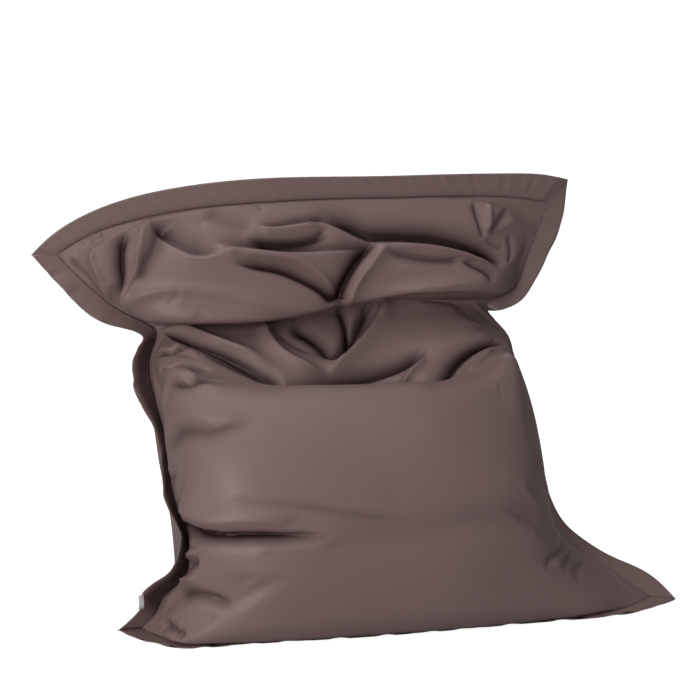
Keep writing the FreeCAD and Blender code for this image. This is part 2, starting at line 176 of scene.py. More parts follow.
# share down the seam, distance down the panel, then x, y and z of the seven points between the seams
FRONT_NET = [
    (0.00, 0.00, (-0.61, -0.42, -0.22, -0.02, 0.17, 0.34, 0.47),
     (0.131,) * 7, (0.903, 0.950, 0.968, 0.975, 0.975, 0.976, 0.970)),
    (0.07, 0.08, (-0.60, -0.42, -0.22, -0.02, 0.17, 0.34, 0.465),
     (0.110, 0.090, 0.080, 0.078, 0.080, 0.085, 0.105), (0.868, 0.895, 0.905, 0.905, 0.905, 0.908, 0.905)),
    (0.14, 0.18, (-0.575, -0.42, -0.22, -0.02, 0.17, 0.34, 0.455),
     (0.075, 0.038, 0.028, 0.032, 0.028, 0.038, 0.075), (0.810, 0.815, 0.812, 0.810, 0.812, 0.818, 0.825)),
    (0.21, 0.27, (-0.545, -0.42, -0.22, -0.02, 0.17, 0.34, 0.44),
     (0.050, 0.006, -0.006, 0.010, 0.008, 0.016, 0.062), (0.738, 0.728, 0.722, 0.736, 0.766, 0.776, 0.782)),
    (0.265, 0.33, (-0.51, -0.41, -0.22, -0.01, 0.16, 0.32, 0.415),
     (0.062, 0.004, -0.008, 0.028, -0.006, 0.002, 0.062), (0.684, 0.680, 0.681, 0.704, 0.737, 0.736, 0.724)),
    (0.31, 0.40, (-0.47, -0.38, -0.21, -0.01, 0.15, 0.28, 0.355),
     (0.100, 0.095, 0.095, 0.115, 0.100, 0.095, 0.110), (0.668, 0.672, 0.674, 0.694, 0.722, 0.721, 0.712)),
    (0.36, 0.46, (-0.46, -0.38, -0.21, -0.01, 0.15, 0.29, 0.380),
     (0.075, 0.050, 0.048, 0.070, 0.050, 0.045, 0.065), (0.652, 0.652, 0.648, 0.640, 0.655, 0.668, 0.660)),
    (0.42, 0.55, (-0.472, -0.39, -0.22, 0.0, 0.17, 0.30, 0.410),
     (0.025, -0.015, -0.025, -0.02, -0.025, -0.025, 0.02), (0.626, 0.620, 0.600, 0.575, 0.595, 0.618, 0.625)),
    (0.48, 0.66, (-0.475, -0.40, -0.23, 0.01, 0.18, 0.32, 0.408),
     (-0.045, -0.100, -0.125, -0.13, -0.125, -0.1, -0.045), (0.598, 0.580, 0.552, 0.532, 0.545, 0.575, 0.602)),
    (0.54, 0.74, (-0.474, -0.40, -0.24, 0.01, 0.18, 0.325, 0.405),
     (-0.110, -0.19, -0.22, -0.23, -0.22, -0.19, -0.11), (0.600, 0.590, 0.562, 0.554, 0.558, 0.575, 0.600)),
    (0.61, 0.84, (-0.472, -0.405, -0.24, 0.01, 0.18, 0.325, 0.400),
     (-0.185, -0.28, -0.32, -0.33, -0.32, -0.28, -0.19), (0.550, 0.548, 0.530, 0.525, 0.528, 0.540, 0.550)),
    (0.70, 0.97, (-0.464, -0.405, -0.24, 0.01, 0.185, 0.335, 0.404),
     (-0.265, -0.365, -0.41, -0.42, -0.41, -0.365, -0.265), (0.430, 0.435, 0.430, 0.428, 0.430, 0.435, 0.425)),
    (0.79, 1.09, (-0.455, -0.40, -0.24, 0.015, 0.195, 0.348, 0.416),
     (-0.315, -0.41, -0.45, -0.46, -0.45, -0.405, -0.31), (0.310, 0.315, 0.312, 0.310, 0.310, 0.312, 0.305)),
    (0.87, 1.21, (-0.440, -0.39, -0.24, 0.02, 0.205, 0.362, 0.437),
     (-0.345, -0.42, -0.458, -0.466, -0.455, -0.415, -0.335), (0.190, 0.195, 0.192, 0.190, 0.190, 0.190, 0.180)),
    (0.93, 1.32, (-0.468, -0.40, -0.24, 0.03, 0.220, 0.390, 0.500),
     (-0.355, -0.41, -0.438, -0.446, -0.438, -0.405, -0.34), (0.085, 0.085, 0.080, 0.078, 0.080, 0.085, 0.085)),
    (0.97, 1.39, (-0.490, -0.405, -0.24, 0.03, 0.24, 0.42, 0.56),
     (-0.360, -0.40, -0.415, -0.42, -0.415, -0.395, -0.355), (0.015, 0.008, 0.006, 0.006, 0.006, 0.008, 0.02)),
    (1.00, 1.45, (-0.498, -0.405, -0.24, 0.03, 0.24, 0.43, 0.60),
     (-0.315, -0.350, -0.358, -0.36, -0.358, -0.35, -0.335), (0.004,) * 7),
]
BACK_NET = [
    (0.00, 0.00, (-0.61, -0.42, -0.22, -0.02, 0.17, 0.34, 0.47),
     (0.135,) * 7, (0.903, 0.950, 0.968, 0.975, 0.975, 0.976, 0.970)),
    (0.07, 0.08, (-0.60, -0.42, -0.22, -0.02, 0.17, 0.34, 0.465),
     (0.155, 0.175, 0.185, 0.188, 0.185, 0.178, 0.158), (0.868, 0.895, 0.905, 0.905, 0.905, 0.908, 0.905)),
    (0.15, 0.20, (-0.575, -0.42, -0.22, -0.02, 0.17, 0.34, 0.455),
     (0.175, 0.205, 0.215, 0.218, 0.215, 0.205, 0.175), (0.785, 0.790, 0.790, 0.790, 0.790, 0.795, 0.80)),
    (0.23, 0.31, (-0.53, -0.42, -0.22, -0.02, 0.17, 0.33, 0.43),
     (0.175, 0.210, 0.225, 0.228, 0.225, 0.210, 0.18), (0.695, 0.685, 0.680, 0.680, 0.682, 0.690, 0.71)),
    (0.31, 0.38, (-0.465, -0.40, -0.22, 0.0, 0.17, 0.30, 0.375),
     (0.200, 0.232, 0.245, 0.248, 0.245, 0.232, 0.20), (0.640, 0.630, 0.622, 0.620, 0.622, 0.632, 0.648)),
    (0.38, 0.48, (-0.482, -0.41, -0.24, 0.0, 0.18, 0.31, 0.40),
     (0.235, 0.290, 0.315, 0.322, 0.315, 0.290, 0.235), (0.590, 0.572, 0.562, 0.558, 0.562, 0.572, 0.59)),
    (0.46, 0.60, (-0.485, -0.43, -0.26, 0.0, 0.20, 0.34, 0.42),
     (0.255, 0.345, 0.385, 0.395, 0.385, 0.345, 0.255), (0.510, 0.490, 0.478, 0.475, 0.478, 0.490, 0.515)),
    (0.56, 0.73, (-0.462, -0.425, -0.26, 0.0, 0.20, 0.34, 0.42),
     (0.245, 0.370, 0.425, 0.437, 0.425, 0.370, 0.245), (0.400, 0.375, 0.362, 0.358, 0.362, 0.375, 0.40)),
    (0.67, 0.86, (-0.448, -0.415, -0.26, 0.01, 0.20, 0.34, 0.42),
     (0.205, 0.360, 0.435, 0.455, 0.435, 0.360, 0.205), (0.280, 0.250, 0.240, 0.236, 0.240, 0.250, 0.28)),
    (0.78, 1.00, (-0.430, -0.40, -0.26, 0.01, 0.21, 0.35, 0.43),
     (0.140, 0.315, 0.400, 0.430, 0.400, 0.315, 0.14), (0.155, 0.125, 0.112, 0.108, 0.112, 0.125, 0.155)),
    (0.87, 1.13, (-0.430, -0.40, -0.25, 0.02, 0.22, 0.37, 0.46),
     (0.060, 0.240, 0.320, 0.350, 0.320, 0.240, 0.06), (0.050, 0.025, 0.016, 0.014, 0.016, 0.025, 0.05)),
    (0.93, 1.31, (-0.450, -0.41, -0.25, 0.02, 0.23, 0.40, 0.52),
     (-0.060, 0.090, 0.160, 0.180, 0.160, 0.090, -0.06), (0.012, 0.003, 0.003, 0.003, 0.003, 0.003, 0.012)),
    (0.97, 1.55, (-0.475, -0.41, -0.25, 0.02, 0.24, 0.42, 0.56),
     (-0.19, -0.13, -0.11, -0.10, -0.11, -0.13, -0.19), (0.003,) * 7),
    (1.00, 1.80, (-0.498, -0.405, -0.24, 0.03, 0.24, 0.43, 0.60),
     (-0.315, -0.350, -0.358, -0.36, -0.358, -0.35, -0.335), (0.002,) * 7),
]
# half the sewn panel's width in metres, and the height under which no cloth goes
HALF_WIDTH, LOWEST = 0.60, 0.0016


def net_rows(net):
    """A panel's net with the seam points put in at both ends of every row: shares, distances, points."""
    share = np.array([row[0] for row in net])
    down = np.array([row[1] for row in net])
    inner = np.array([row[2:5] for row in net], float).transpose(0, 2, 1)
    left, right = seam(SEAM_LEFT, share)[:, None], seam(SEAM_RIGHT, share)[:, None]
    return share, down, np.concatenate([left, inner, right], 1)


def panel(net, u, d):
    """Points of a panel at places u across (-1 to 1) and distances d down it, splined both ways."""
    share, down, points = net_rows(net)
    rows = spline(down, points, d)
    r = spline(down, share, d)
    rows[:, 0], rows[:, -1] = seam(SEAM_LEFT, r), seam(SEAM_RIGHT, r)
    return spline(ACROSS, rows.transpose(1, 0, 2), u).transpose(1, 0, 2)


def spaced(spans):
    """Places from spans of (start, end, step)."""
    parts = [np.linspace(a, b, max(int(round((b - a) / step)), 1), endpoint=False) for a, b, step in spans]
    return np.append(np.concatenate(parts), spans[-1][1])


u = spaced([(-1, -0.9, 0.0060), (-0.9, 0.9, 0.0072), (0.9, 1, 0.0060)])
front_down = spaced([(0, 0.68, 0.0042), (0.68, 1.07, 0.0100), (1.07, 1.18, 0.0046), (1.18, 1.45, 0.0080)])
back_down = spaced([(0, 1.15, 0.0100), (1.15, 1.65, 0.025), (1.65, 1.80, 0.0100)])
front_base = panel(FRONT_NET, u, front_down)
back_base = panel(BACK_NET, u, back_down)
print("front grid", front_base.shape, "back grid", back_base.shape)

# %% [markdown]
# Folds are where a big pillow shows its weight. Each fold is a line on the flat panel, given as metres across from
# the middle and metres down from the top stitching, with a height in millimetres (valleys are negative), how far it
# spreads on each side of the line in millimetres, and how sharp it is: 1 is a crease and 2 a soft swell. The cloth is
# pushed along its own normals, so the same line works on the wing, in the neck and over the rim of the seat.

# %% The folds of both panels
# height, spread on the line's own left seen from the front, spread on its right, sharpness, and the line
WING_FOLDS = [
    (20, 12, 20, 1.2, [(-0.50, 0.06), (-0.515, 0.12), (-0.545, 0.22), (-0.575, 0.30)]),
    (-9, 12, 12, 1.5, [(-0.572, 0.05), (-0.578, 0.15), (-0.582, 0.24), (-0.580, 0.31)]),
    (-32, 9, 22, 1.5, [(-0.414, 0.03), (-0.424, 0.07), (-0.450, 0.15), (-0.495, 0.235), (-0.56, 0.30)]),
    (15, 9, 10, 1.3, [(-0.384, 0.02), (-0.392, 0.09), (-0.440, 0.21), (-0.53, 0.295)]),
    (-17, 26, 9, 1.4, [(-0.366, 0.02), (-0.368, 0.09), (-0.395, 0.155), (-0.440, 0.23)]),
    (-18, 42, 6, 1.3, [(-0.371, 0.020), (-0.350, 0.080), (-0.319, 0.120), (-0.282, 0.140), (-0.245, 0.130)]),
    (9, 8, 26, 1.5, [(-0.330, 0.140), (-0.290, 0.158), (-0.245, 0.148), (-0.205, 0.132)]),
    (-36, 36, 8, 1.25, [(-0.060, 0.046), (-0.015, 0.062), (0.035, 0.084), (0.073, 0.101), (0.125, 0.106),
                        (0.181, 0.110), (0.233, 0.118), (0.281, 0.134), (0.328, 0.155), (0.380, 0.195),
                        (0.430, 0.265)]),
    (-15, 6, 13, 1.3, [(-0.162, 0.068), (-0.125, 0.070), (-0.095, 0.063), (-0.055, 0.056), (-0.010, 0.054)]),
    (13, 10, 11, 2.0, [(-0.165, 0.084), (-0.110, 0.084), (-0.070, 0.080), (-0.030, 0.070)]),
    (-24, 7, 20, 1.4, [(-0.190, 0.106), (-0.150, 0.112), (-0.104, 0.114), (-0.065, 0.109), (-0.034, 0.096),
                       (-0.016, 0.074)]),
    (-16, 26, 6, 1.25, [(-0.260, 0.112), (-0.194, 0.124), (-0.160, 0.127), (-0.125, 0.133), (-0.086, 0.134),
                        (-0.035, 0.134), (0.030, 0.130), (0.090, 0.122)]),
    (-8, 30, 26, 2.0, [(-0.27, 0.02), (-0.23, 0.055), (-0.17, 0.085)]),
    (12, 6, 26, 1.5, [(-0.270, 0.130), (-0.194, 0.136), (-0.125, 0.146), (-0.035, 0.146), (0.030, 0.141),
                      (0.090, 0.128)]),
    (13, 7, 9, 1.6, [(0.095, 0.122), (0.150, 0.126), (0.220, 0.138), (0.281, 0.152), (0.340, 0.185), (0.400, 0.255)]),
    (-16, 6, 26, 1.3, [(0.100, 0.130), (0.134, 0.140), (0.177, 0.152), (0.230, 0.164), (0.300, 0.168)]),
    (-16, 22, 8, 1.3, [(0.287, 0.168), (0.324, 0.225), (0.395, 0.300)]),
    (-14, 10, 7, 1.3, [(0.338, 0.020), (0.346, 0.070), (0.368, 0.125)]),
    (9, 9, 9, 1.4, [(0.385, 0.022), (0.380, 0.070), (0.376, 0.110)]),
    (-13, 26, 7, 1.4, [(0.450, 0.030), (0.412, 0.070), (0.378, 0.120)]),
    (-8, 10, 8, 1.3, [(0.365, 0.120), (0.415, 0.145), (0.440, 0.150)]),
    (-9, 12, 12, 1.5, [(0.450, 0.110), (0.470, 0.160), (0.465, 0.230)]),
    (-40, 7, 25, 1.3, [(0.095, 0.105), (0.078, 0.126), (0.052, 0.155), (0.030, 0.193), (0.013, 0.239), (0.000, 0.290),
                       (-0.004, 0.345)]),
    (15, 18, 6, 1.4, [(0.118, 0.122), (0.099, 0.136), (0.073, 0.172), (0.048, 0.210), (0.026, 0.260),
                      (0.008, 0.320)]),
    (-28, 20, 6, 1.25, [(-0.225, 0.164), (-0.177, 0.176), (-0.125, 0.189), (-0.078, 0.214), (-0.039, 0.248),
                        (-0.010, 0.315)]),
    (15, 12, 10, 1.5, [(-0.215, 0.145), (-0.134, 0.153), (-0.086, 0.168), (-0.043, 0.199), (-0.015, 0.240),
                       (-0.004, 0.310)]),
    (15, 22, 16, 1.8, [(-0.57, 0.31), (-0.47, 0.27), (-0.398, 0.250), (-0.308, 0.238), (-0.229, 0.248),
                       (-0.150, 0.276), (-0.085, 0.292)]),
    (5, 7, 7, 1.6, [(-0.500, 0.004), (-0.495, 0.045)]),
    (-5, 6, 6, 1.5, [(-0.465, 0.004), (-0.468, 0.040)]),
    (5, 7, 7, 1.6, [(-0.375, 0.003), (-0.372, 0.030)]),
    (-4, 6, 6, 1.5, [(-0.160, 0.004), (-0.150, 0.035)]),
    (4, 6, 6, 1.5, [(0.330, 0.003), (0.336, 0.030)]),
]
NECK_FOLDS = [
    (-32, 9, 30, 1.3, [(-0.50, 0.44), (-0.43, 0.452), (-0.356, 0.482), (-0.282, 0.530), (-0.213, 0.575),
                       (-0.165, 0.610), (-0.125, 0.690)]),
    (16, 20, 9, 1.6, [(-0.44, 0.430), (-0.356, 0.455), (-0.275, 0.505), (-0.20, 0.550), (-0.150, 0.590)]),
    (-7, 6, 12, 1.3, [(-0.300, 0.550), (-0.250, 0.578), (-0.200, 0.605), (-0.155, 0.645)]),
    (-18, 9, 16, 1.4, [(-0.555, 0.570), (-0.480, 0.565), (-0.410, 0.550), (-0.345, 0.510)]),
    (-22, 9, 18, 1.4, [(-0.540, 0.700), (-0.450, 0.670), (-0.360, 0.630), (-0.277, 0.630)]),
    (-20, 9, 18, 1.4, [(-0.500, 0.810), (-0.400, 0.800), (-0.350, 0.775), (-0.300, 0.740), (-0.235, 0.722)]),
    (22, 12, 13, 1.5, [(-0.148, 0.420), (-0.162, 0.455), (-0.155, 0.500), (-0.130, 0.545), (-0.092, 0.578),
                       (-0.050, 0.592)]),
    (-9, 8, 8, 1.4, [(-0.138, 0.468), (-0.105, 0.503), (-0.074, 0.525)]),
    (-26, 18, 20, 1.5, [(-0.108, 0.440), (-0.055, 0.485), (-0.030, 0.545)]),
    (28, 8, 24, 1.3, [(-0.055, 0.598), (-0.013, 0.540), (0.061, 0.478), (0.125, 0.425), (0.155, 0.370)]),
    (-28, 12, 14, 1.5, [(-0.040, 0.550), (0.000, 0.500), (0.050, 0.450), (0.100, 0.400)]),
    (-26, 10, 10, 1.3, [(0.004, 0.400), (0.016, 0.445), (0.014, 0.500)]),
    (8, 7, 8, 1.5, [(0.165, 0.375), (0.150, 0.415), (0.105, 0.452)]),
    (-30, 12, 22, 1.5, [(0.200, 0.545), (0.124, 0.577), (0.055, 0.590), (-0.013, 0.604), (-0.105, 0.630)]),
    (15, 10, 10, 1.4, [(0.182, 0.575), (0.125, 0.612), (0.060, 0.670)]),
    (-34, 12, 24, 1.4, [(0.500, 0.590), (0.430, 0.580), (0.371, 0.582), (0.298, 0.600), (0.234, 0.635),
                        (0.15, 0.740)]),
    (14, 12, 14, 1.5, [(0.480, 0.640), (0.390, 0.635), (0.310, 0.660), (0.250, 0.700)]),
    (-7, 8, 8, 1.5, [(0.395, 0.490), (0.425, 0.530), (0.455, 0.565)]),
    (-40, 34, 34, 2.0, [(-0.150, 0.655), (-0.060, 0.650), (0.050, 0.655), (0.150, 0.690)]),
    (7, 28, 34, 2.0, [(-0.160, 0.745), (-0.060, 0.750), (0.050, 0.755), (0.150, 0.785)]),
]
SEAT_FOLDS = [
    (-14, 20, 26, 1.7, [(-0.55, 0.945), (-0.430, 0.925), (-0.319, 0.903), (-0.198, 0.869)]),
    (-38, 6, 16, 1.3, [(-0.640, 1.095), (-0.490, 1.132), (-0.392, 1.138), (-0.300, 1.132), (-0.213, 1.129),
                       (-0.090, 1.138)]),
    (16, 36, 10, 1.7, [(-0.56, 1.080), (-0.46, 1.100), (-0.36, 1.108), (-0.26, 1.100), (-0.12, 1.105)]),
    (9, 10, 20, 1.6, [(-0.24, 1.150), (-0.15, 1.158), (-0.08, 1.145)]),
    (-7, 10, 16, 1.5, [(-0.30, 1.050), (-0.18, 1.060), (-0.08, 1.085), (0.02, 1.110)]),
    (-5, 50, 46, 2.0, [(-0.15, 1.137), (0.000, 1.130), (0.190, 1.110), (0.380, 1.160)]),
    (13, 9, 10, 1.5, [(-0.57, 1.200), (-0.490, 1.185), (-0.405, 1.175)]),
    (-15, 9, 10, 1.5, [(-0.57, 1.222), (-0.500, 1.212), (-0.43, 1.205)]),
    (12, 9, 10, 1.5, [(-0.57, 1.270), (-0.500, 1.258), (-0.44, 1.245)]),
    (-20, 11, 14, 1.4, [(-0.570, 1.300), (-0.47, 1.285), (-0.361, 1.288), (-0.265, 1.305)]),
    (-18, 11, 13, 1.4, [(-0.570, 1.385), (-0.500, 1.372), (-0.430, 1.372)]),
    (-5, 10, 10, 1.6, [(-0.575, 0.870), (-0.520, 0.862)]),
    (5, 10, 10, 1.6, [(-0.575, 0.985), (-0.510, 0.978)]),
    (-6, 10, 10, 1.6, [(-0.575, 1.010), (-0.500, 1.006)]),
    (5, 10, 10, 1.6, [(-0.575, 1.050), (-0.520, 1.046)]),
    (-10, 14, 8, 1.4, [(0.335, 1.285), (0.365, 1.262), (0.480, 1.236), (0.560, 1.215)]),
    (-8, 10, 9, 1.4, [(0.410, 1.285), (0.450, 1.272), (0.550, 1.250)]),
    (-8, 10, 8, 1.4, [(0.440, 1.315), (0.480, 1.298), (0.560, 1.290)]),
    (6, 10, 10, 1.6, [(0.38, 1.275), (0.45, 1.255), (0.560, 1.232)]),
]
BACK_FOLDS = [
    (-10, 20, 22, 1.6, [(-0.50, 0.10), (-0.36, 0.15), (-0.22, 0.17)]),
    (-12, 18, 22, 1.6, [(0.50, 0.12), (0.38, 0.16), (0.25, 0.15)]),
    (-16, 18, 22, 1.5, [(-0.56, 0.33), (-0.40, 0.36), (-0.25, 0.35), (-0.12, 0.38)]),
    (-16, 18, 22, 1.5, [(0.56, 0.34), (0.42, 0.37), (0.28, 0.36), (0.10, 0.39)]),
    (12, 16, 20, 1.6, [(-0.56, 0.38), (-0.40, 0.41), (-0.26, 0.41)]),
    (11, 16, 20, 1.6, [(0.56, 0.39), (0.42, 0.42), (0.30, 0.42)]),
    (-14, 12, 16, 1.4, [(-0.05, 0.28), (-0.02, 0.36), (0.02, 0.44)]),
    (8, 14, 14, 1.6, [(0.03, 0.28), (0.06, 0.35), (0.09, 0.43)]),
    (-8, 24, 28, 1.8, [(-0.57, 0.62), (-0.44, 0.60), (-0.32, 0.55)]),
    (-8, 24, 28, 1.8, [(0.57, 0.64), (0.44, 0.61), (0.34, 0.56)]),
    (-7, 18, 18, 1.7, [(-0.57, 0.98), (-0.46, 0.97)]),
    (-7, 18, 18, 1.7, [(0.57, 1.00), (0.46, 0.98)]),
]
print("fold lines", len(WING_FOLDS + NECK_FOLDS + SEAT_FOLDS), "in front,", len(BACK_FOLDS), "behind")

# %% [markdown]
# A fold's profile is a bell curve of the distance to its line, so folds can be added up where they cross. The same
# curve, drawn narrower and kept for valleys only, is painted shade: how much darker the colour is at a valley's
# bottom.

# %% Pushing the folds in
TRACK_POINTS, FOLD_REACH, FADE_SHARE = 48, 3.0, 0.22
# how much narrower and how sharp the painted shade of a valley is drawn
CREASE_SHARE, CREASE_SHARP = 0.75, 1.6
# the still border, and the width and depth of the painted shade beside the left seam
STILL_BORDER, GAP_WIDTH, GAP_SHADE = 0.022, 0.016, -0.020


def fold_height(fold, across, down):
    """One fold in metres: height times e to the minus (distance over spread) to the sharpness, faded at both ends.
    The second value is its painted shade, the same curve at CREASE_SHARE of the spread and for valleys only."""
    height, left, right, sharp, line = fold
    line = np.array(line, float)
    along = np.concatenate([[0], np.cumsum(np.hypot(*np.diff(line, axis=0).T))])
    track = spline(along, line, np.linspace(0, along[-1], TRACK_POINTS))
    run = np.gradient(track, axis=0)
    wide = FOLD_REACH * max(left, right) / 1000
    near = (across > track[:, 0].min() - wide) & (across < track[:, 0].max() + wide)
    near &= (down > track[:, 1].min() - wide) & (down < track[:, 1].max() + wide)
    push, shade = np.zeros(across.shape), np.zeros(across.shape)
    away = np.stack([across[near], down[near]], 1)[:, None] - track[None]
    k = np.hypot(away[..., 0], away[..., 1]).argmin(1)
    away, run = away[np.arange(len(k)), k], run[k]
    pace = np.hypot(*run.T)
    side = (run[:, 0] * away[:, 1] - run[:, 1] * away[:, 0]) / pace
    ahead = (run * away).sum(1) / pace
    past = np.where((k == 0) | (k == len(track) - 1), ahead, 0)
    spread = np.where(side > 0, right, left) / 1000
    share = np.clip((k + ahead / pace) / (len(track) - 1), 0, 1)
    fade = smoothstep(-0.02, FADE_SHARE, share) * smoothstep(-0.02, FADE_SHARE, 1 - share)
    reach = np.hypot(side, past) / spread
    push[near] = height / 1000 * fade * np.exp(-(reach**sharp))
    shade[near] = min(height, 0) / 1000 * fade * np.exp(-((reach / CREASE_SHARE) ** CREASE_SHARP))
    return np.stack([push, shade])


def grid_normals(points, outward):
    """Unit normals of a grid from the cross product of its two central differences."""
    across = np.gradient(points, axis=1)
    down = np.gradient(points, axis=0)
    normal = outward * np.cross(across, down)
    return normal / np.maximum(np.linalg.norm(normal, axis=2, keepdims=True), 1e-9)


def folded(base, distances, folds, outward):
    """The panel with its folds pushed in along its normals, fading to nothing at the stitched border, and the painted
    shade of its valleys. On the front, the gap beside the left seam gets painted shade too."""
    across, down = np.meshgrid(u * HALF_WIDTH, distances)
    push, shade = sum(fold_height(fold, across, down) for fold in folds)
    edge = np.minimum(HALF_WIDTH - np.abs(across), np.minimum(down, distances[-1] - down))
    push *= smoothstep(0, STILL_BORDER, edge)
    # painted shade in the gap beside the left seam, on the front panel only
    left_gap_shade = np.exp(-(HALF_WIDTH + across) / GAP_WIDTH) * smoothstep(0.38, 0.46, down) * smoothstep(1.44, 1.36, down)
    shade += GAP_SHADE * left_gap_shade * (outward < 0)
    shape = base + push[..., None] * grid_normals(base, outward)
    shape[..., 2] = np.maximum(shape[..., 2], LOWEST)
    return shape, shade


front_shape, front_shade = folded(front_base, front_down, WING_FOLDS + NECK_FOLDS + SEAT_FOLDS, -1.0)
back_shape, back_shade = folded(back_base, back_down, BACK_FOLDS, 1.0)
print("deepest shade in front", round(front_shade.min() * 1000), "mm, behind", round(back_shade.min() * 1000), "mm")

# %% [markdown]
# Beads press outwards on every panel, so the cloth between two folds is never flat. A cloth simulation does that
# part: a thinned-out copy of each panel is pinned along its stitching and blown out from inside for twenty frames
# without gravity. Its movement is capped and carried back to the full panel, so the folds keep their places.

# %% Swelling of the cloth
SWELL_FRAMES, SWELL_CAP, SWELL_PRESSURE = 20, 0.010, 4.0


def every_second(count):
    """Every second number below count, with the last one kept."""
    return np.unique(np.append(np.arange(0, count, 2), count - 1))


def in_between(kept, count):
    """A matrix from values at the kept numbers to values at every number below count, straight between them."""
    return np.stack([np.interp(np.arange(count), kept, weights) for weights in np.eye(len(kept))], 1)


def swollen(name, points, flip):
    """The panel moved as its pinned copy moves under pressure, by at most SWELL_CAP, and kept off the floor."""
    rows, columns = every_second(points.shape[0]), every_second(points.shape[1])
    start = points[np.ix_(rows, columns)]
    copy = make_mesh("swelling_" + name, start.reshape(-1, 3), grid_faces(*start.shape[:2], flip=flip))
    border = np.ones(start.shape[:2], bool)
    border[1:-1, 1:-1] = False
    copy.vertex_groups.new(name="sewn").add(np.flatnonzero(border.ravel()).tolist(), 1.0, "REPLACE")
    cloth = copy.modifiers.new("swelling", "CLOTH")
    settings = cloth.settings
    settings.vertex_group_mass = "sewn"
    settings.quality = 4
    settings.mass = 0.35
    settings.tension_stiffness = settings.compression_stiffness = 12
    settings.shear_stiffness, settings.bending_stiffness = 6, 0.4
    settings.use_pressure, settings.uniform_pressure_force = True, SWELL_PRESSURE
    settings.effector_weights.gravity = 0
    cloth.point_cache.frame_start, cloth.point_cache.frame_end = 1, SWELL_FRAMES
    for frame_number in range(1, SWELL_FRAMES + 1):
        bpy.context.scene.frame_set(frame_number)
    done = copy.evaluated_get(bpy.context.evaluated_depsgraph_get()).data
    moved = np.zeros(len(done.vertices) * 3, np.float32)
    done.vertices.foreach_get("co", moved)
    move = moved.reshape(start.shape) - start
    size = np.linalg.norm(move, axis=2, keepdims=True)
    move *= np.minimum(1, SWELL_CAP / np.maximum(size, 1e-9))
    bpy.data.objects.remove(copy)
    bpy.context.scene.frame_set(1)
    down, wide = in_between(rows, points.shape[0]), in_between(columns, points.shape[1])
    full = np.einsum("jc,ick->ijk", wide, np.einsum("ir,rck->ick", down, move))
    print(name, "panel swells by up to", round(float(np.linalg.norm(full, axis=2).max()) * 1000, 1), "mm")
    result = points + full
    result[..., 2] = np.maximum(result[..., 2], LOWEST)
    return result


front_shape = swollen("front", front_shape, False)
back_shape = swollen("back", back_shape, True)

# %% [markdown]
# The two panels are the cover's visible faces. Each is a thin coated cloth 1.2 mm thick, thickened inwards.

# %% The cover's two panels
CLOTH_THICKNESS = 0.0012


def cover_piece(obj):
    """Gives a piece of the cover its cloth thickness."""
    wall = obj.modifiers.new("cloth thickness", "SOLIDIFY")
    wall.thickness, wall.offset = CLOTH_THICKNESS, -1
    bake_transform(obj)


front_obj = make_mesh("cover_front", front_shape.reshape(-1, 3), grid_faces(*front_shape.shape[:2]))
back_obj = make_mesh("cover_back", back_shape.reshape(-1, 3), grid_faces(*back_shape.shape[:2], flip=True))
# the fold number kept on every point is the painted shade of the valleys, read by the cover's material
paint(front_obj, "fold", front_shade)
paint(back_obj, "fold", back_shade)
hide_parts("front_cover_lower", "front_cover_upper")
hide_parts("back_cover_lower", "back_cover_upper")
cover_piece(front_obj)
cover_piece(back_obj)
print("cover faces", len(front_obj.data.polygons), "in front,", len(back_obj.data.polygons), "behind")

# %% [markdown]
# Outside the stitching the two panels run on for 6 cm as a flat flange. It is a ribbon carried between the stitched
# line and the cut edge: a point is the mix of the two, plus a ripple that grows towards the free edge. The front and
# the back layer lie against each other at the sides and at the floor. Along the top they part a little and hold
# the zip.

# %% The flange
TOP_EDGE = [
    (0.00, (-0.770, 0.850)), (0.055, (-0.715, 0.900)), (0.145, (-0.600, 0.962)), (0.235, (-0.476, 0.998)),
    (0.335, (-0.330, 1.020)), (0.46, (-0.150, 1.031)), (0.62, (0.090, 1.031)), (0.75, (0.275, 1.033)),
    (0.88, (0.460, 1.033)), (0.955, (0.556, 1.027)), (1.00, (0.611, 1.015)),
]
FOOT_EDGE = [
    (0.00, (-0.606, -0.230)), (0.05, (-0.560, -0.300)), (0.12, (-0.480, -0.375)), (0.20, (-0.380, -0.386)),
    (0.40, (-0.100, -0.392)), (0.60, (0.160, -0.390)), (0.80, (0.450, -0.380)), (0.92, (0.640, -0.358)),
    (1.00, (0.768, -0.289)),
]
FLANGE_COLUMNS = 13
# across the top edge, y: the zip's middle, the lip's place, how far it stands out at its root and in its waves,
# and the ends where both lips meet
ZIP_MIDDLE, LIP_PLACE, LIP_ROOT, LIP_WAVE, LIP_END = 0.133, 0.1268, 0.0042, 0.0012, 0.1324
FOOT_EDGE_HEIGHT, FOOT_LOWEST, FOOT_GAP = 0.0035, 0.0028, 0.0014
LAYER_GAP, LEFT_SHADE = 0.0016, -0.022


def table_at(table, t):
    """The splined values of a small table of (place, values)."""
    return spline([row[0] for row in table], [row[1] for row in table], t)


def ripple(t, waves):
    """A sum of sine waves along a ribbon, each as (how many waves, size in metres, phase)."""
    return sum((size * np.sin(2 * np.pi * count * t + phase) for count, size, phase in waves), np.zeros(len(t)))


def ribbon(inner, outer, out_of_plane, waves, power=1.4):
    """Points of a flange ribbon: (1 - w) inner + w outer + w^power ripple along out_of_plane, w from 0 to 1."""
    w = np.linspace(0, 1, FLANGE_COLUMNS)[None, :, None]
    t = np.linspace(0, 1, len(inner))
    lift = ripple(t, waves)[:, None, None] * w**power * np.asarray(out_of_plane)
    return np.maximum(inner[:, None] * (1 - w) + outer[:, None] * w + lift, (-9, -9, LOWEST))


def layer(points, gap):
    """Shifts a ribbon along its own normals."""
    return points + gap * grid_normals(points, 1.0)

# %% [markdown]
# Four ribbons go round the panel: left, right, top and foot. The side ones wave a little, as a double layer of
# cloth does. The top one is shaped across the zip instead, and both its lips meet again at the two corners.

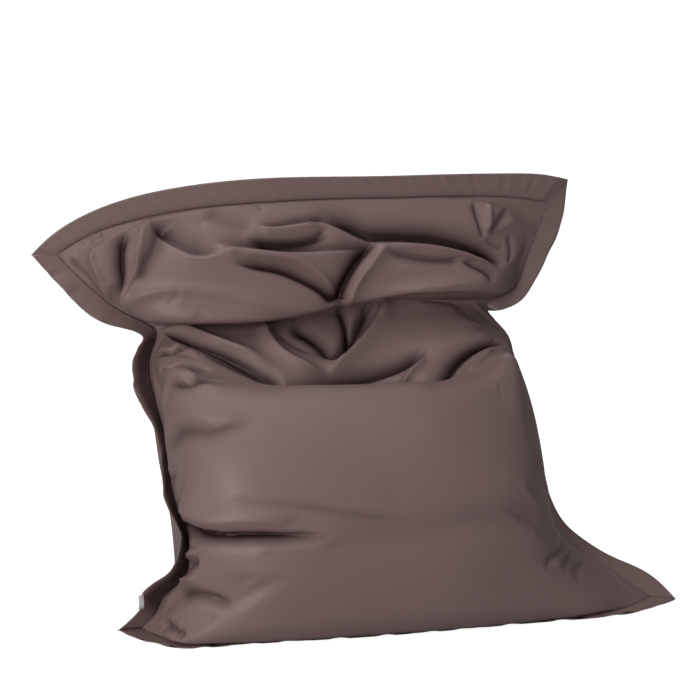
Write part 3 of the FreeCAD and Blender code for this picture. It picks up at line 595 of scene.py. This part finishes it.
# %% The four ribbons
side_places = np.linspace(0, 1, 300)
left_ribbon = ribbon(seam(SEAM_LEFT, side_places), seam(EDGE_LEFT, side_places), (0.35, -0.94, 0),
                     [(9, 0.0030, 0.4), (17, 0.0022, 1.1), (29, 0.0010, 2.0)])
right_ribbon = ribbon(seam(SEAM_RIGHT, side_places), seam(EDGE_RIGHT, side_places), (-0.1, 0.9, 0.3),
                      [(7, 0.0022, 0.9), (15, 0.0014, 0.2)])
top_places = (u + 1) / 2
top_edge = table_at(TOP_EDGE, top_places)
top_outer = np.stack([top_edge[:, 0], np.full(len(u), ZIP_MIDDLE), top_edge[:, 1]], 1)
top_front = ribbon(front_base[0], top_outer, (0, -1, 0), [])
out_share = np.linspace(0, 1, FLANGE_COLUMNS)
pucker = 1 + ripple(top_places, [(31, 0.5, 0.0), (47, 0.3, 1.3), (9, 0.2, 2.0)])
top_front[..., 1] = LIP_PLACE + LIP_ROOT * (1 - smoothstep(0, 0.22, out_share))[None]
top_front[..., 1] -= LIP_WAVE * smoothstep(0.1, 0.5, out_share) * pucker[:, None]
corner = smoothstep(0, 0.03, np.minimum(top_places, 1 - top_places))[:, None]
top_front[..., 1] = LIP_END * (1 - corner) + top_front[..., 1] * corner
top_back = top_front.copy()
top_back[..., 1] = 2 * ZIP_MIDDLE - top_front[..., 1]
foot_edge = table_at(FOOT_EDGE, top_places)
foot_outer = np.stack([foot_edge[:, 0], foot_edge[:, 1], np.full(len(u), FOOT_EDGE_HEIGHT)], 1)
foot_ribbon = ribbon(front_base[-1], foot_outer, (0, 0, 1), [(13, 0.0016, 0.3), (23, 0.0010, 1.0)])
foot_ribbon[..., 2] = np.maximum(foot_ribbon[..., 2], FOOT_LOWEST)

# %% [markdown]
# The flange is two layers of cloth, so each ribbon is used twice, a layer's gap apart and facing the other way. Part
# of the left one lies in the shade of the seat, and is painted a little darker.

# %% The flange's two layers
def joined(parts):
    """Several grids of points, kept off the floor, and their faces as one mesh's arrays; a part is (points, flip)."""
    points, quads, start = [], [], 0
    for grid, flip in parts:
        points.append(np.maximum(grid.reshape(-1, 3), (-9, -9, LOWEST)))
        quads.append(grid_faces(*grid.shape[:2], flip=flip) + start)
        start += points[-1].shape[0]
    return np.concatenate(points), np.concatenate(quads)


flange_front = make_mesh("flange_front", *joined([
    (left_ribbon, True), (layer(right_ribbon, -0.0001), False), (top_front, False), (foot_ribbon, True)]))
back_foot = foot_ribbon - (0, 0, FOOT_GAP)
flange_back = make_mesh("flange_back", *joined([
    (layer(left_ribbon, -LAYER_GAP), False), (layer(right_ribbon, LAYER_GAP), True), (top_back, True),
    (back_foot, False)]))
left_share, left_out = np.meshgrid(side_places, out_share, indexing="ij")
left_shade = LEFT_SHADE * smoothstep(0.33, 0.39, left_share) * smoothstep(0.99, 0.95, left_share)
left_shade *= smoothstep(1.02, 0.55, left_out)
for flange_obj, node, shown in ((flange_front, "front_cover_lower", 1.0), (flange_back, "back_cover_lower", 0.3)):
    shade = np.zeros(len(flange_obj.data.vertices))
    shade[:left_shade.size] = left_shade.ravel() * shown
    paint(flange_obj, "fold", shade)
    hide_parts(node)
    cover_piece(flange_obj)
print("flange ribbons", left_ribbon.shape, right_ribbon.shape, top_front.shape, foot_ribbon.shape)

# %% [markdown]
# Two lines of thread run round the flange: one that joins the panels, and one near the cut edge. A stitch is a tiny
# closed spindle, and thousands of them are placed at once along a path, so each one has only twenty faces.

# %% Stitching
RING_AT = 0.28


def spindles(name, centres, axes, length, radius):
    """Closed spindles: two poles and two five-sided rings each, moved to centre + x axis + y side + z up."""
    turn = np.linspace(0, 2 * np.pi, 5, endpoint=False)
    ring = np.stack([np.zeros(5), np.cos(turn), np.sin(turn)], 1) * radius
    shape = np.concatenate([[(-length / 2, 0, 0)], ring - (length * RING_AT, 0, 0), ring + (length * RING_AT, 0, 0),
                            [(length / 2, 0, 0)]])
    a = np.arange(5)
    b = (a + 1) % 5
    faces = np.concatenate([
        np.stack([np.zeros(5, int), 1 + b, 1 + a], 1), np.stack([1 + a, 1 + b, 6 + a], 1),
        np.stack([1 + b, 6 + b, 6 + a], 1), np.stack([6 + a, 6 + b, np.full(5, 11)], 1)])
    axes = axes / np.linalg.norm(axes, axis=1, keepdims=True)
    side = np.cross(axes, (0.31, 0.22, 0.92))
    side /= np.linalg.norm(side, axis=1, keepdims=True)
    frames = np.stack([axes, side, np.cross(axes, side)], 1)
    points = centres[:, None] + np.einsum("pk,nkc->npc", shape, frames)
    all_faces = (faces[None] + 12 * np.arange(len(centres))[:, None, None]).reshape(-1, 3)
    return make_mesh(name, points.reshape(-1, 3), all_faces)


def evenly(path, pitch):
    """Points at equal steps along a path, and the directions there."""
    along = np.concatenate([[0], np.cumsum(np.linalg.norm(np.diff(path, axis=0), axis=1))])
    at = np.arange(pitch / 2, along[-1], pitch)
    points = np.stack([np.interp(at, along, path[:, k]) for k in range(3)], 1)
    ahead = np.stack([np.interp(at + pitch / 4, along, path[:, k]) for k in range(3)], 1)
    return points, ahead - points + 1e-9


STITCH_PITCH, STITCH_LENGTH, THREAD_RADIUS = 0.0055, 0.0042, 0.00055
INNER_LINE, EDGE_LINE = 1, 11


def stitched(name, ribbons, node_names):
    """Two lines of stitches on one face of every ribbon; each ribbon is (points, how far out along its normals)."""
    centres, axes = [], []
    for points, out in ribbons:
        lifted = points + out * grid_normals(points, 1.0)
        for column in (INNER_LINE, EDGE_LINE):
            middle, ahead = evenly(lifted[:, column], STITCH_PITCH)
            centres.append(middle)
            axes.append(ahead)
    obj = spindles(name, np.concatenate(centres), np.concatenate(axes), STITCH_LENGTH, THREAD_RADIUS)
    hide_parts(*node_names)
    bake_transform(obj)
    print(name, len(obj.data.polygons) // 20, "stitches")
    return obj


# the number beside each ribbon is how far along its normals the thread lies; behind, it clears both layers
thread_front = stitched(
    "topstitch_front", [(left_ribbon, 0.0002), (right_ribbon, -0.0003), (top_front, -0.0002), (foot_ribbon, 0.0002)],
    ("topstitch_lower_front", "topstitch_upper_front"))
thread_back = stitched(
    "topstitch_back", [(left_ribbon, -0.0029), (right_ribbon, 0.0029), (top_back, 0.0002)],
    ("topstitch_lower_back", "topstitch_upper_back"))

# %% [markdown]
# The zip's teeth are loops of one nylon monofilament. From outside each looks like a short bar across the tape, so
# each tooth is a spindle, and the two sides are set half a pitch apart so that they mesh.

# %% Zip teeth
ZIP_EDGE_X = [-0.770, -0.715, -0.600, -0.476, -0.330, -0.150, 0.490, 0.556, 0.611]
ZIP_EDGE_Z = [0.850, 0.900, 0.962, 0.998, 1.020, 1.033, 1.033, 1.027, 1.015]
TOOTH_PITCH, TOOTH_DEPTH, TOOTH_RADIUS, TAPE_MARGIN = 0.0015, 0.0069, 0.00068, 0.001


def zip_teeth(name, node, toward, offset):
    """One side's teeth, along the cut edge at a fixed depth under it."""
    low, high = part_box(node)
    x = np.arange(low[0] + TAPE_MARGIN + offset, high[0] - TAPE_MARGIN, TOOTH_PITCH)
    z = np.interp(x, ZIP_EDGE_X, ZIP_EDGE_Z) - TOOTH_DEPTH
    middle = np.stack([x, np.full(len(x), (low[1] + high[1]) / 2), z], 1)
    axes = np.tile(np.array([[0.18, toward, 0.0]]), (len(x), 1))
    obj = spindles(name, middle, axes, high[1] - low[1], TOOTH_RADIUS)
    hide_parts(node)
    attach(obj, "head_wing")
    print(name, len(x), "teeth")
    return obj


coil_front = zip_teeth("zip_teeth_front", "zip_coil_front", 1.0, 0.0)
coil_back = zip_teeth("zip_teeth_back", "zip_coil_back", -1.0, TOOTH_PITCH / 2)

# %% [markdown]
# Inside the cover lies a liner of thin cloth, closed by a hook and loop strip, and inside that the beads. Both follow
# the cover: the same panels, sampled coarsely at equal shares down the seam, moved inwards and closed at the seam.

# %% Liner and bead fill
def deepest_near(push):
    """Each place's lowest value among itself and its neighbours two steps around."""
    padded = np.pad(push, 2, mode="edge")
    shifts = [padded[r:r + push.shape[0], c:c + push.shape[1]] for r in range(5) for c in range(5)]
    return np.min(shifts, axis=0)


LINER_DEPTH, BEADS_DEPTH, SINK_SHARE = 0.014, 0.022, 0.3
LINER_WAIST, NECK_WAIST = 0.955, 0.90
NECK_SHARES, NECK_LEVELS, NECK_PLACES = (0.24, 0.42), (0.705, 0.630), (0.165, 0.205)


def inside(name, depth, rows=150, columns=110):
    """A closed form: both panels at equal shares of the seam, sunk by depth below their folds but by no more than
    SINK_SHARE of the way to each other, drawn in to LINER_WAIST of the width, and gathered at the neck into a
    flat waist between NECK_PLACES."""
    share = np.linspace(0.03, 0.975, rows)
    across = np.linspace(-0.95, 0.95, columns)
    halves, normals = [], []
    for net, folds, outward in ((FRONT_NET, WING_FOLDS + NECK_FOLDS + SEAT_FOLDS, -1.0), (BACK_NET, BACK_FOLDS, 1.0)):
        at_share, at_down, _ = net_rows(net)
        down = np.interp(share, at_share, at_down)
        points = panel(net, across, down)
        places = np.meshgrid(across * HALF_WIDTH, down)
        push = deepest_near(sum(fold_height(fold, *places) for fold in folds)[0])
        normals.append(grid_normals(points, outward))
        halves.append(points + np.minimum(push, 0)[..., None] * normals[-1])
    apart = np.linalg.norm(halves[0] - halves[1], axis=2, keepdims=True)
    for half, normal in zip(halves, normals):
        half -= np.minimum(depth, SINK_SHARE * apart) * normal
    pinched = (smoothstep(0.19, 0.26, share) * smoothstep(0.46, 0.38, share))[:, None, None]
    level = np.interp(share, NECK_SHARES, NECK_LEVELS)[:, None]
    for half, place in zip(halves, NECK_PLACES):
        core = np.stack([NECK_WAIST * half[..., 0], place + 0 * half[..., 0], level + 0 * half[..., 0]], 2)
        half += (core - half) * pinched
    middle = (halves[0] + halves[1]) / 2
    side = smoothstep(0, 0.16, across[-1] - np.abs(across))[None, :, None]
    ends = smoothstep(0, 0.07, np.minimum(share - share[0], share[-1] - share))[:, None, None]
    front, back = middle + (halves[0] - middle) * side * ends, middle + (halves[1] - middle) * side * ends
    for half in (front, back):
        half[..., 0] *= LINER_WAIST
        half[..., 2] = np.maximum(half[..., 2], depth)
    points, quads = joined([(front, False), (back, True)])
    obj = make_mesh(name, points, quads)
    weld = obj.modifiers.new("seam", "WELD")
    weld.merge_threshold = 0.0006
    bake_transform(obj)
    return obj


liner = inside("inner_liner", LINER_DEPTH)
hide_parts("inner_liner_lower", "inner_liner_upper")
beads = inside("bead_fill", BEADS_DEPTH)
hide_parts("bead_fill_lower", "bead_fill_upper")
print("liner faces", len(liner.data.polygons), "bead fill faces", len(beads.data.polygons))

# %% [markdown]
# A small blank care label is sewn into the left side seam, so it starts under the flange's cut edge and hangs a
# little open. It is a loop of satin tape, two layers that meet at the free end.

# %% Care label
LABEL_OUT, LABEL_TALL, LABEL_TURN = 0.011, 0.036, 0.0007


def care_label():
    """A folded strip: out along x, round a tight half turn and back, with a slight curl down its height."""
    bend = np.linspace(0, np.pi, 9)
    straight = np.linspace(0, LABEL_OUT, 8)
    out_x = np.concatenate([straight, LABEL_OUT + LABEL_TURN * np.sin(bend)[1:-1], np.linspace(LABEL_OUT, 0, 8)])
    out_y = np.concatenate([np.full(8, -LABEL_TURN), -LABEL_TURN * np.cos(bend)[1:-1], np.full(8, LABEL_TURN)])
    height = np.linspace(0, LABEL_TALL, 13)[:, None]
    edge = seam(EDGE_LEFT, np.linspace(0.972, 0.945, 13))
    curl = 0.0015 * np.sin(np.pi * height / LABEL_TALL)
    x = edge[:, 0:1] + 0.004 - out_x[None] - curl
    y = edge[:, 1:2] + 0.0022 + out_y[None] + 0.10 * out_x[None]
    return np.stack([x, y, edge[:, 2:3] + 0 * out_x[None]], 2)


label_points = care_label()
label = make_mesh("blank_care_label", label_points.reshape(-1, 3), grid_faces(*label_points.shape[:2]))
wall = label.modifiers.new("tape thickness", "SOLIDIFY")
wall.thickness, wall.offset = 0.0002, 0
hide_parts("care_label")
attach(label, "bag")
print("care label faces", len(label.data.polygons))

# %% [markdown]
# Every finish is built from nodes on Object coordinates, which stay with a piece when it moves. Two helpers do what
# all of them need: one starts a material, and one adds up layers of fine bumps.

# %% Starting a material
def new_material(name):
    """An empty node material with its shader, and short ways to add and join nodes."""
    material = bpy.data.materials.new(name)
    material.use_nodes = True
    tree = material.node_tree
    shader = tree.nodes["Principled BSDF"]

    def node(kind, **inputs):
        made = tree.nodes.new("ShaderNode" + kind)
        for key, value in inputs.items():
            socket = made.inputs[key.replace("_", " ")]
            if isinstance(value, bpy.types.NodeSocket):
                tree.links.new(value, socket)
            else:
                socket.default_value = value
        return made

    return material, tree, shader, node


def grain_bump(tree, shader, node, coordinates, layers):
    """Adds up bumps of noise, each as (scale per metre, strength, distance in metres)."""
    normal = None
    for scale, strength, distance in layers:
        grain = node("TexNoise", Vector=coordinates, Scale=scale, Detail=3.0, Roughness=0.6)
        bump = node("Bump", Strength=strength, Distance=distance, Height=grain.outputs["Fac"])
        if normal is not None:
            tree.links.new(normal, bump.inputs["Normal"])
        normal = bump.outputs["Normal"]
    tree.links.new(normal, shader.inputs["Normal"])

# %% [markdown]
# The cover is polyurethane coated faux leather: a warm grey brown with a satin surface, a very fine grain and a
# little variation in tone. Deep folds get painted shade: the material darkens the colour by the number kept for every
# point.

# %% The cover's finish
# the cover's colour and the colour of its painted shade; the fold numbers and painted shade shares between them; the
# gloss
COVER_COLOUR, COVER_PAINTED_SHADE = (0.222, 0.151, 0.143), (0.020, 0.0068, 0.0060)
FOLD_DEPTHS, PAINTED_SHADE_SHARES, GLOSS_RANGE = (-0.001, -0.026), (0.0, 0.97), (0.43, 0.50)


def set_range(node, before, after):
    """Sets a Map Range node to carry the first pair of numbers to the second."""
    sockets = ("From Min", "From Max", "To Min", "To Max")
    for socket, value in zip(sockets, (*before, *after)):
        node.inputs[socket].default_value = value


def leatherette(name, colour, dark):
    """Coated cloth: cloudy colour, grain, satin roughness, and painted shade where the piece has a fold number."""
    material, tree, shader, node = new_material(name)
    place = node("TexCoord").outputs["Object"]
    cloud = node("TexNoise", Vector=place, Scale=3.2, Detail=4.0, Roughness=0.55)
    tone = node("ValToRGB", Fac=cloud.outputs["Fac"])
    tone.color_ramp.elements[0].position, tone.color_ramp.elements[1].position = 0.3, 0.7
    tone.color_ramp.elements[0].color = (*[c * 0.95 for c in colour], 1)
    tone.color_ramp.elements[1].color = (*[c * 1.05 for c in colour], 1)
    # painted shade: the fold number mixes the dark colour into the valleys
    fold = node("Attribute")
    fold.attribute_name = "fold"
    depth = node("MapRange", Value=fold.outputs["Fac"])
    set_range(depth, FOLD_DEPTHS, PAINTED_SHADE_SHARES)
    shade = node("Mix")
    shade.data_type = "RGBA"
    tree.links.new(depth.outputs["Result"], shade.inputs["Factor"])
    tree.links.new(tone.outputs["Color"], shade.inputs[6])
    shade.inputs[7].default_value = (*dark, 1)
    tree.links.new(shade.outputs[2], shader.inputs["Base Color"])
    wear = node("TexNoise", Vector=place, Scale=9.0, Detail=3.0, Roughness=0.5)
    gloss = node("MapRange", Value=wear.outputs["Fac"])
    set_range(gloss, (0.3, 0.7), GLOSS_RANGE)
    tree.links.new(gloss.outputs["Result"], shader.inputs["Roughness"])
    grain_bump(tree, shader, node, place, [(900.0, 0.10, 0.0004), (260.0, 0.06, 0.0006), (30.0, 0.06, 0.002)])
    shader.inputs["Specular IOR Level"].default_value = 0.4
    shader.inputs["Specular Tint"].default_value = (1.0, 0.84, 0.81, 1)
    return material


cover_material = leatherette("satin_leatherette", COVER_COLOUR, COVER_PAINTED_SHADE)
for obj in (front_obj, back_obj, flange_front, flange_back):
    obj.data.materials.append(cover_material)
print("cover finish on", len(cover_material.node_tree.nodes), "nodes")

# %% [markdown]
# Thread, zip tape, liner, label and strips are all woven, each with its own count of bands in a metre. The nylon and
# the metal differ only in colour and gloss. The beads show as domed cells.

# %% Woven, moulded and bead finishes
HARD_GRAIN, BEAD_CELLS = 400.0, 260.0


def plain_cloth(name, colour, weave, rough, sheen=0.2):
    """Woven cloth: two crossed bands of waves, multiplied, as colour and as bump."""
    material, tree, shader, node = new_material(name)
    place = node("TexCoord").outputs["Object"]
    bands = []
    for direction in ("X", "Z"):
        band = node("TexWave", Vector=place, Scale=weave, Distortion=0.4, Detail=1.0)
        band.bands_direction = direction
        bands.append(band.outputs["Fac"])
    over = node("Math")
    over.operation = "MULTIPLY"
    tree.links.new(bands[0], over.inputs[0])
    tree.links.new(bands[1], over.inputs[1])
    tone = node("ValToRGB", Fac=over.outputs[0])
    tone.color_ramp.elements[0].color = (*[c * 0.72 for c in colour], 1)
    tone.color_ramp.elements[1].color = (*colour, 1)
    tree.links.new(tone.outputs["Color"], shader.inputs["Base Color"])
    bump = node("Bump", Strength=0.4, Distance=0.0002, Height=over.outputs[0])
    tree.links.new(bump.outputs["Normal"], shader.inputs["Normal"])
    shader.inputs["Roughness"].default_value = rough
    shader.inputs["Sheen Weight"].default_value = sheen
    return material


def hard_finish(name, colour, metallic, rough):
    """Moulded nylon or plated metal: a faint noise in the gloss and the surface."""
    material, tree, shader, node = new_material(name)
    place = node("TexCoord").outputs["Object"]
    cloud = node("TexNoise", Vector=place, Scale=HARD_GRAIN, Detail=2.0, Roughness=0.5)
    tone = node("ValToRGB", Fac=cloud.outputs["Fac"])
    tone.color_ramp.elements[0].color = (*[c * 0.85 for c in colour], 1)
    tone.color_ramp.elements[1].color = (*[min(c * 1.15, 1) for c in colour], 1)
    tree.links.new(tone.outputs["Color"], shader.inputs["Base Color"])
    grain_bump(tree, shader, node, place, [(HARD_GRAIN * 2, 0.08, 0.0002)])
    shader.inputs["Metallic"].default_value = metallic
    shader.inputs["Roughness"].default_value = rough
    return material


def bead_finish():
    """Round polystyrene beads: one cell of a Voronoi pattern each, domed by its distance to the centre, with painted
    shade greying each cell towards its rim, where the beads meet.
    """
    material, tree, shader, node = new_material("polystyrene_beads")
    place = node("TexCoord").outputs["Object"]
    cells = node("TexVoronoi", Vector=place, Scale=BEAD_CELLS)
    # painted shade: each white bead is greyed towards its rim, where it meets the next
    tone = node("ValToRGB", Fac=cells.outputs["Distance"])
    tone.color_ramp.elements[0].color = (0.86, 0.86, 0.86, 1)
    tone.color_ramp.elements[1].color = (0.45, 0.45, 0.46, 1)
    tree.links.new(tone.outputs["Color"], shader.inputs["Base Color"])
    bump = node("Bump", Strength=0.8, Distance=0.002, Height=cells.outputs["Distance"])
    bump.invert = True
    tree.links.new(bump.outputs["Normal"], shader.inputs["Normal"])
    shader.inputs["Roughness"].default_value = 0.6
    return material

# %% [markdown]
# The new pieces take their finish as their only material. The zip's hardware and the strips are the CAD's own
# meshes, and only have their material exchanged.

# %% Giving each piece its finish
thread_material = plain_cloth("thread_brown", (0.200, 0.140, 0.132), 1800.0, 0.6)
tape_material = plain_cloth("zip_tape_brown", (0.060, 0.042, 0.040), 1300.0, 0.85)
liner_material = plain_cloth("liner_white", (0.72, 0.72, 0.70), 900.0, 0.85)
label_material = plain_cloth("label_satin", (0.70, 0.69, 0.67), 2200.0, 0.45)
strip_material = plain_cloth("hook_and_loop_dark", (0.045, 0.035, 0.034), 700.0, 0.95, 0.5)
coil_material = hard_finish("nylon_coil_brown", (0.050, 0.035, 0.033), 0.0, 0.35)
metal_material = hard_finish("zip_metal_bronze", (0.28, 0.22, 0.19), 1.0, 0.32)
for obj, material in ((thread_front, thread_material), (thread_back, thread_material), (coil_front, coil_material),
                      (coil_back, coil_material), (liner, liner_material), (beads, bead_finish()),
                      (label, label_material)):
    obj.data.materials.append(material)
CAD_FINISHES = {
    "zip_tape_front": tape_material, "zip_tape_back": tape_material, "zip_slider": metal_material,
    "pull_tab": metal_material, "zip_end_stops": metal_material, "zip_bar_tacks": thread_material,
    "liner_hook_strip": strip_material, "liner_loop_strip": strip_material,
}
for node_name, material in CAD_FINISHES.items():
    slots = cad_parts[node_name].data.materials
    slots.clear()
    slots.append(material)
print("finishes", len(bpy.data.materials), "materials")

# %% [markdown]
# The camera is a long lens a good four metres away, so the chair keeps its proportions. It stands twelve degrees to
# the viewer's left of straight ahead and looks down on the chair's middle by ten degrees.

# %% Camera
def aim(obj, target):
    """Turns a camera or light at obj's place towards a target."""
    obj.rotation_euler = (Vector(target) - obj.location).to_track_quat("-Z", "Y").to_euler()


camera_data = bpy.data.cameras.new("camera")
camera = bpy.data.objects.new("camera", camera_data)
bpy.context.scene.collection.objects.link(camera)
camera_data.lens = 85
camera_data.sensor_width = 36
TARGET = (0.03, 0.133, 0.5855)
AZIMUTH, ELEVATION, DISTANCE = math.radians(-12), math.radians(10), 4.26
camera.location = (
    TARGET[0] + DISTANCE * math.sin(AZIMUTH) * math.cos(ELEVATION),
    TARGET[1] - DISTANCE * math.cos(AZIMUTH) * math.cos(ELEVATION),
    TARGET[2] + DISTANCE * math.sin(ELEVATION),
)
aim(camera, TARGET)
bpy.context.scene.camera = camera
print("camera at", [round(v, 2) for v in camera.location])

# %% [markdown]
# The studio is white and soft. The key light stands low at the left so the folds throw their shade to the right, the
# others open the shadows, and the ceiling is a wide, weak sun. The world is white to the camera and dim to every
# other ray, and the floor glows only to the camera, so it stays pale around the chair's own shadow.

# %% Lights
def area_light(name, place, target, size, power):
    """A white softbox of size (wide, tall) in metres and power in watts."""
    data = bpy.data.lights.new(name, "AREA")
    data.shape = "RECTANGLE"
    data.size, data.size_y = size
    data.energy = power
    obj = bpy.data.objects.new(name, data)
    obj.location = place
    bpy.context.scene.collection.objects.link(obj)
    aim(obj, target)


area_light("key_softbox", (-2.4, -3.0, 1.5), (-0.1, 0, 0.65), (1.2, 1.2), 48)
area_light("low_softbox", (-2.4, -3.2, 0.35), (-0.5, 0, 0.75), (0.9, 0.7), 20)
area_light("fill_softbox", (3.0, -2.4, 1.2), (0, 0, 0.5), (1.2, 1.8), 3)
area_light("top_softbox", (-0.5, 0.4, 3.2), (0, 0, 0), (1.8, 1.2), 22)
area_light("back_softbox", (0.6, 3.8, 1.5), (0, 0.2, 0.4), (1.8, 1.6), 20)
sun_data = bpy.data.lights.new("studio_ceiling", "SUN")
sun_data.energy, sun_data.angle = 0.45, math.radians(50)
sun = bpy.data.objects.new("studio_ceiling", sun_data)
sun.location = (-1.0, -1.6, 4.0)
bpy.context.scene.collection.objects.link(sun)
aim(sun, (0, 0, 0))
print("lights", len(bpy.data.lights))

# %% World and floor
WORLD_SEEN, WORLD_BOUNCE, FLOOR_GREY, FLOOR_GLOW = 1.05, 0.14, 0.50, 0.92
world = bpy.data.worlds.new("studio")
bpy.context.scene.world = world
world.use_nodes = True
sky = world.node_tree
seen = sky.nodes["Background"]
seen.inputs["Color"].default_value = (1, 1, 1, 1)
seen.inputs["Strength"].default_value = WORLD_SEEN
bounce = sky.nodes.new("ShaderNodeBackground")
bounce.inputs["Color"].default_value = (1, 1, 1, 1)
bounce.inputs["Strength"].default_value = WORLD_BOUNCE
rays = sky.nodes.new("ShaderNodeLightPath")
pick = sky.nodes.new("ShaderNodeMixShader")
sky.links.new(rays.outputs["Is Camera Ray"], pick.inputs[0])
sky.links.new(bounce.outputs[0], pick.inputs[1])
sky.links.new(seen.outputs[0], pick.inputs[2])
sky.links.new(pick.outputs[0], sky.nodes["World Output"].inputs["Surface"])
floor = make_mesh("floor", np.array([(-40, -12, 0), (40, -12, 0), (40, 60, 0), (-40, 60, 0)], float),
                  np.array([[0, 1, 2, 3]]))
floor_material, floor_tree, floor_shader, floor_node = new_material("studio_floor")
floor_shader.inputs["Base Color"].default_value = (FLOOR_GREY, FLOOR_GREY, FLOOR_GREY, 1)
floor_shader.inputs["Roughness"].default_value = 0.7
floor_shader.inputs["Emission Color"].default_value = (1, 1, 1, 1)
floor_rays = floor_node("LightPath")
glow = floor_node("Math", Value=0.0)
glow.operation = "MULTIPLY"
floor_tree.links.new(floor_rays.outputs["Is Camera Ray"], glow.inputs[0])
glow.inputs[1].default_value = FLOOR_GLOW
floor_tree.links.new(glow.outputs[0], floor_shader.inputs["Emission Strength"])
floor.data.materials.append(floor_material)
bpy.context.scene.view_settings.view_transform = "Standard"
print("floor", floor.name, "world", world.name)
